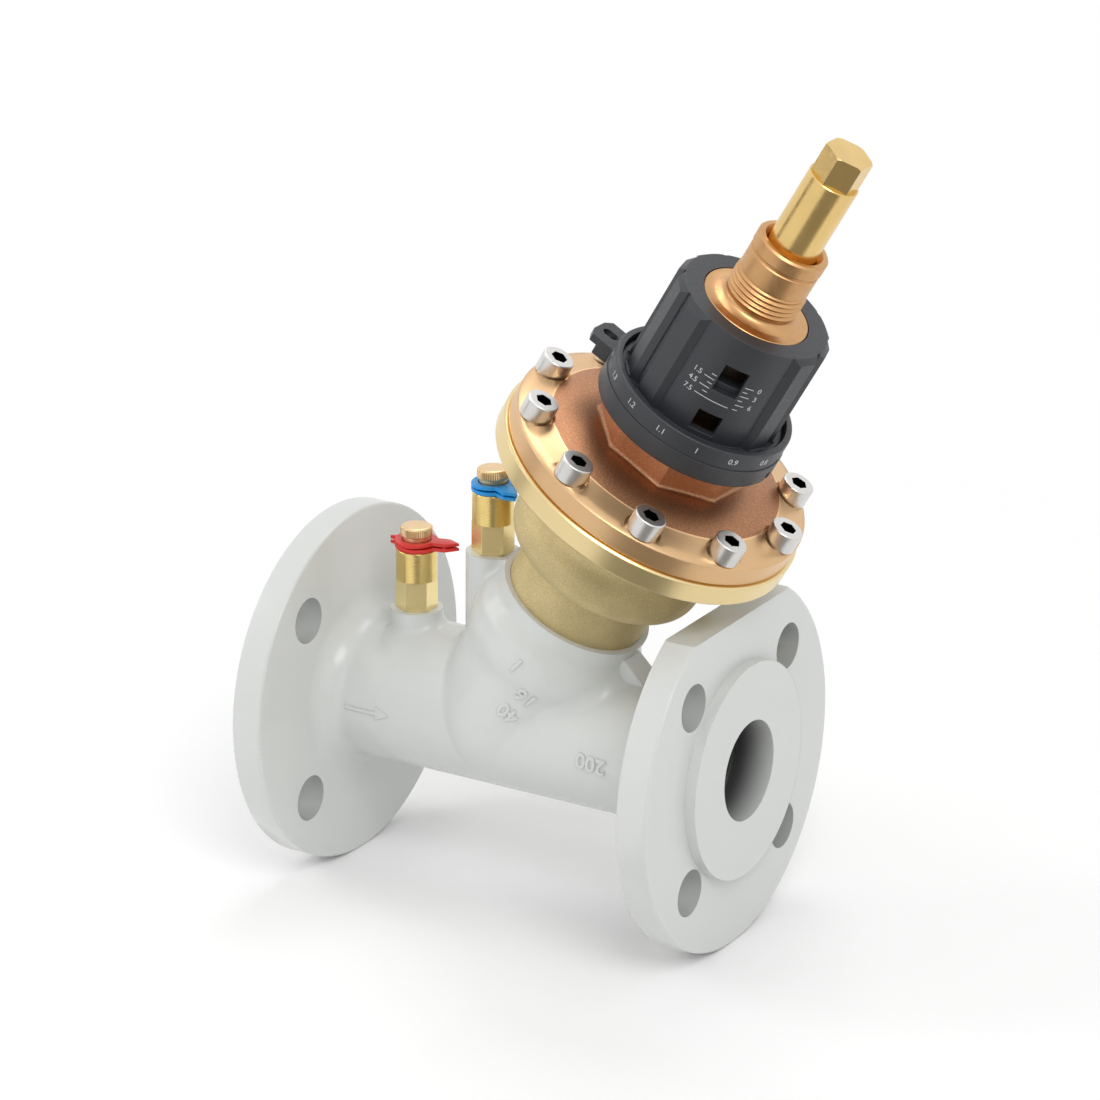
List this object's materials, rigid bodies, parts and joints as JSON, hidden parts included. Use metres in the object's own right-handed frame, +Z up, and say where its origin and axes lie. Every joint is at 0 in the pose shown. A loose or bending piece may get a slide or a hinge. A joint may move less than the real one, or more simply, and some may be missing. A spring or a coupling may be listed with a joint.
{
  "type": "flanged balancing valve",
  "caption": "Flanged Y-pattern balancing valve with a leaning diaphragm bonnet, a dial handwheel, a hexagon spindle and capped test points.",
  "frame": {"origin": "centre of the inlet flange's raised face", "axes": "+X with the flow from inlet to outlet, +Z up, the bonnet leaning towards +X"},
  "size_m": [0.2424, 0.15, 0.3339],
  "materials": {
    "body_paint": "satin light grey paint on cast iron",
    "housing_brass": "blasted brass casting with a turned flange",
    "cover_bronze": "cast bronze with a machined rim",
    "neck_bronze": "turned bronze",
    "spindle_brass": "polished brass",
    "point_brass": "turned yellow brass",
    "screw_steel": "bright stainless steel",
    "inner_steel": "turned stainless steel",
    "black_plastic": "matt moulded plastic",
    "red_plastic": "moulded plastic",
    "blue_plastic": "moulded plastic",
    "seal_rubber": "matt rubber"
  },
  "bodies": {
    "valve": {"valve_body": "body_paint", "seat_ring": "inner_steel", "lower_housing": "housing_brass", "housing_seal": "seal_rubber", "diaphragm": "seal_rubber", "regulator_spring": "inner_steel", "bonnet_cover": "cover_bronze", "cover_screws": "screw_steel", "stem_bush": "point_brass", "scale_ring": "black_plastic", "setting_neck": "neck_bronze", "gland_nut": "neck_bronze", "gland_seal": "seal_rubber", "red_test_point": "point_brass", "red_core_seal": "seal_rubber", "red_strap": "red_plastic", "blue_test_point": "point_brass", "blue_core_seal": "seal_rubber", "blue_strap": "blue_plastic"},
    "regulator": {"regulator_sleeve": "inner_steel", "diaphragm_plate": "inner_steel", "plate_nut": "screw_steel"},
    "plug": {"control_plug": "inner_steel", "plug_seal": "seal_rubber", "valve_stem": "inner_steel"},
    "spindle": {"spindle": "spindle_brass"},
    "handwheel": {"handwheel": "black_plastic"},
    "indicator": {"indicator_sleeve": "black_plastic"},
    "lock_ring": {"lock_ring": "black_plastic"},
    "red_cap_seat": {"red_cap_seal": "seal_rubber"},
    "red_cap": {"red_test_cap": "point_brass"},
    "blue_cap_seat": {"blue_cap_seal": "seal_rubber"},
    "blue_cap": {"blue_test_cap": "point_brass"}
  },
  "joints": [
    {"name": "regulator_travel", "type": "slide", "parent": "valve", "child": "regulator", "axis": [0.5, 0, 0.866], "range_m": [-0.006, 0], "stiffness_N_per_m": 2000, "springref_m": 0.01, "deforming": ["regulator_spring", "diaphragm"]},
    {"name": "plug_stroke", "type": "slide", "parent": "valve", "child": "plug", "axis": [0.5, 0, 0.866], "range_m": [-0.01, 0]},
    {"name": "spindle_turn", "type": "hinge", "parent": "plug", "child": "spindle", "pos_m": [0.218, 0, 0.22517], "axis": [0.5, 0, 0.866], "range_deg": [-1440.2, 0.2]},
    {"name": "handwheel_turn", "type": "hinge", "parent": "valve", "child": "handwheel", "pos_m": [0.188, 0, 0.1732], "axis": [-0.5, 0, -0.866], "range_deg": [-600, 1200]},
    {"name": "indicator_travel", "type": "slide", "parent": "handwheel", "child": "indicator", "axis": [0.5, 0, 0.866], "range_m": [-0.007, 0.0035]},
    {"name": "lock_ring_slide", "type": "slide", "parent": "valve", "child": "lock_ring", "axis": [0.5, 0, 0.866], "range_m": [-0.008, 0]},
    {"name": "red_cap_lift", "type": "slide", "parent": "valve", "child": "red_cap_seat", "axis": [0, 0, 1], "range_m": [0, 0.003]},
    {"name": "red_cap_turn", "type": "hinge", "parent": "red_cap_seat", "child": "red_cap", "pos_m": [0.045, 0, 0.07], "axis": [0, 0, 1], "range_deg": [0, 1080]},
    {"name": "blue_cap_lift", "type": "slide", "parent": "valve", "child": "blue_cap_seat", "axis": [0, 0, 1], "range_m": [0, 0.003]},
    {"name": "blue_cap_turn", "type": "hinge", "parent": "blue_cap_seat", "child": "blue_cap", "pos_m": [0.0814, 0, 0.07], "axis": [0, 0, 1], "range_deg": [0, 1080]}
  ],
  "couplings": [
    {"joint": "spindle_turn", "follows": "plug_stroke", "rad_per_m": 2513.3},
    {"joint": "indicator_travel", "follows": "handwheel_turn", "m_per_rad": -0.00033423},
    {"joint": "red_cap_lift", "follows": "red_cap_turn", "m_per_rad": 0.00015915},
    {"joint": "blue_cap_lift", "follows": "blue_cap_turn", "m_per_rad": 0.00015915}
  ]
}
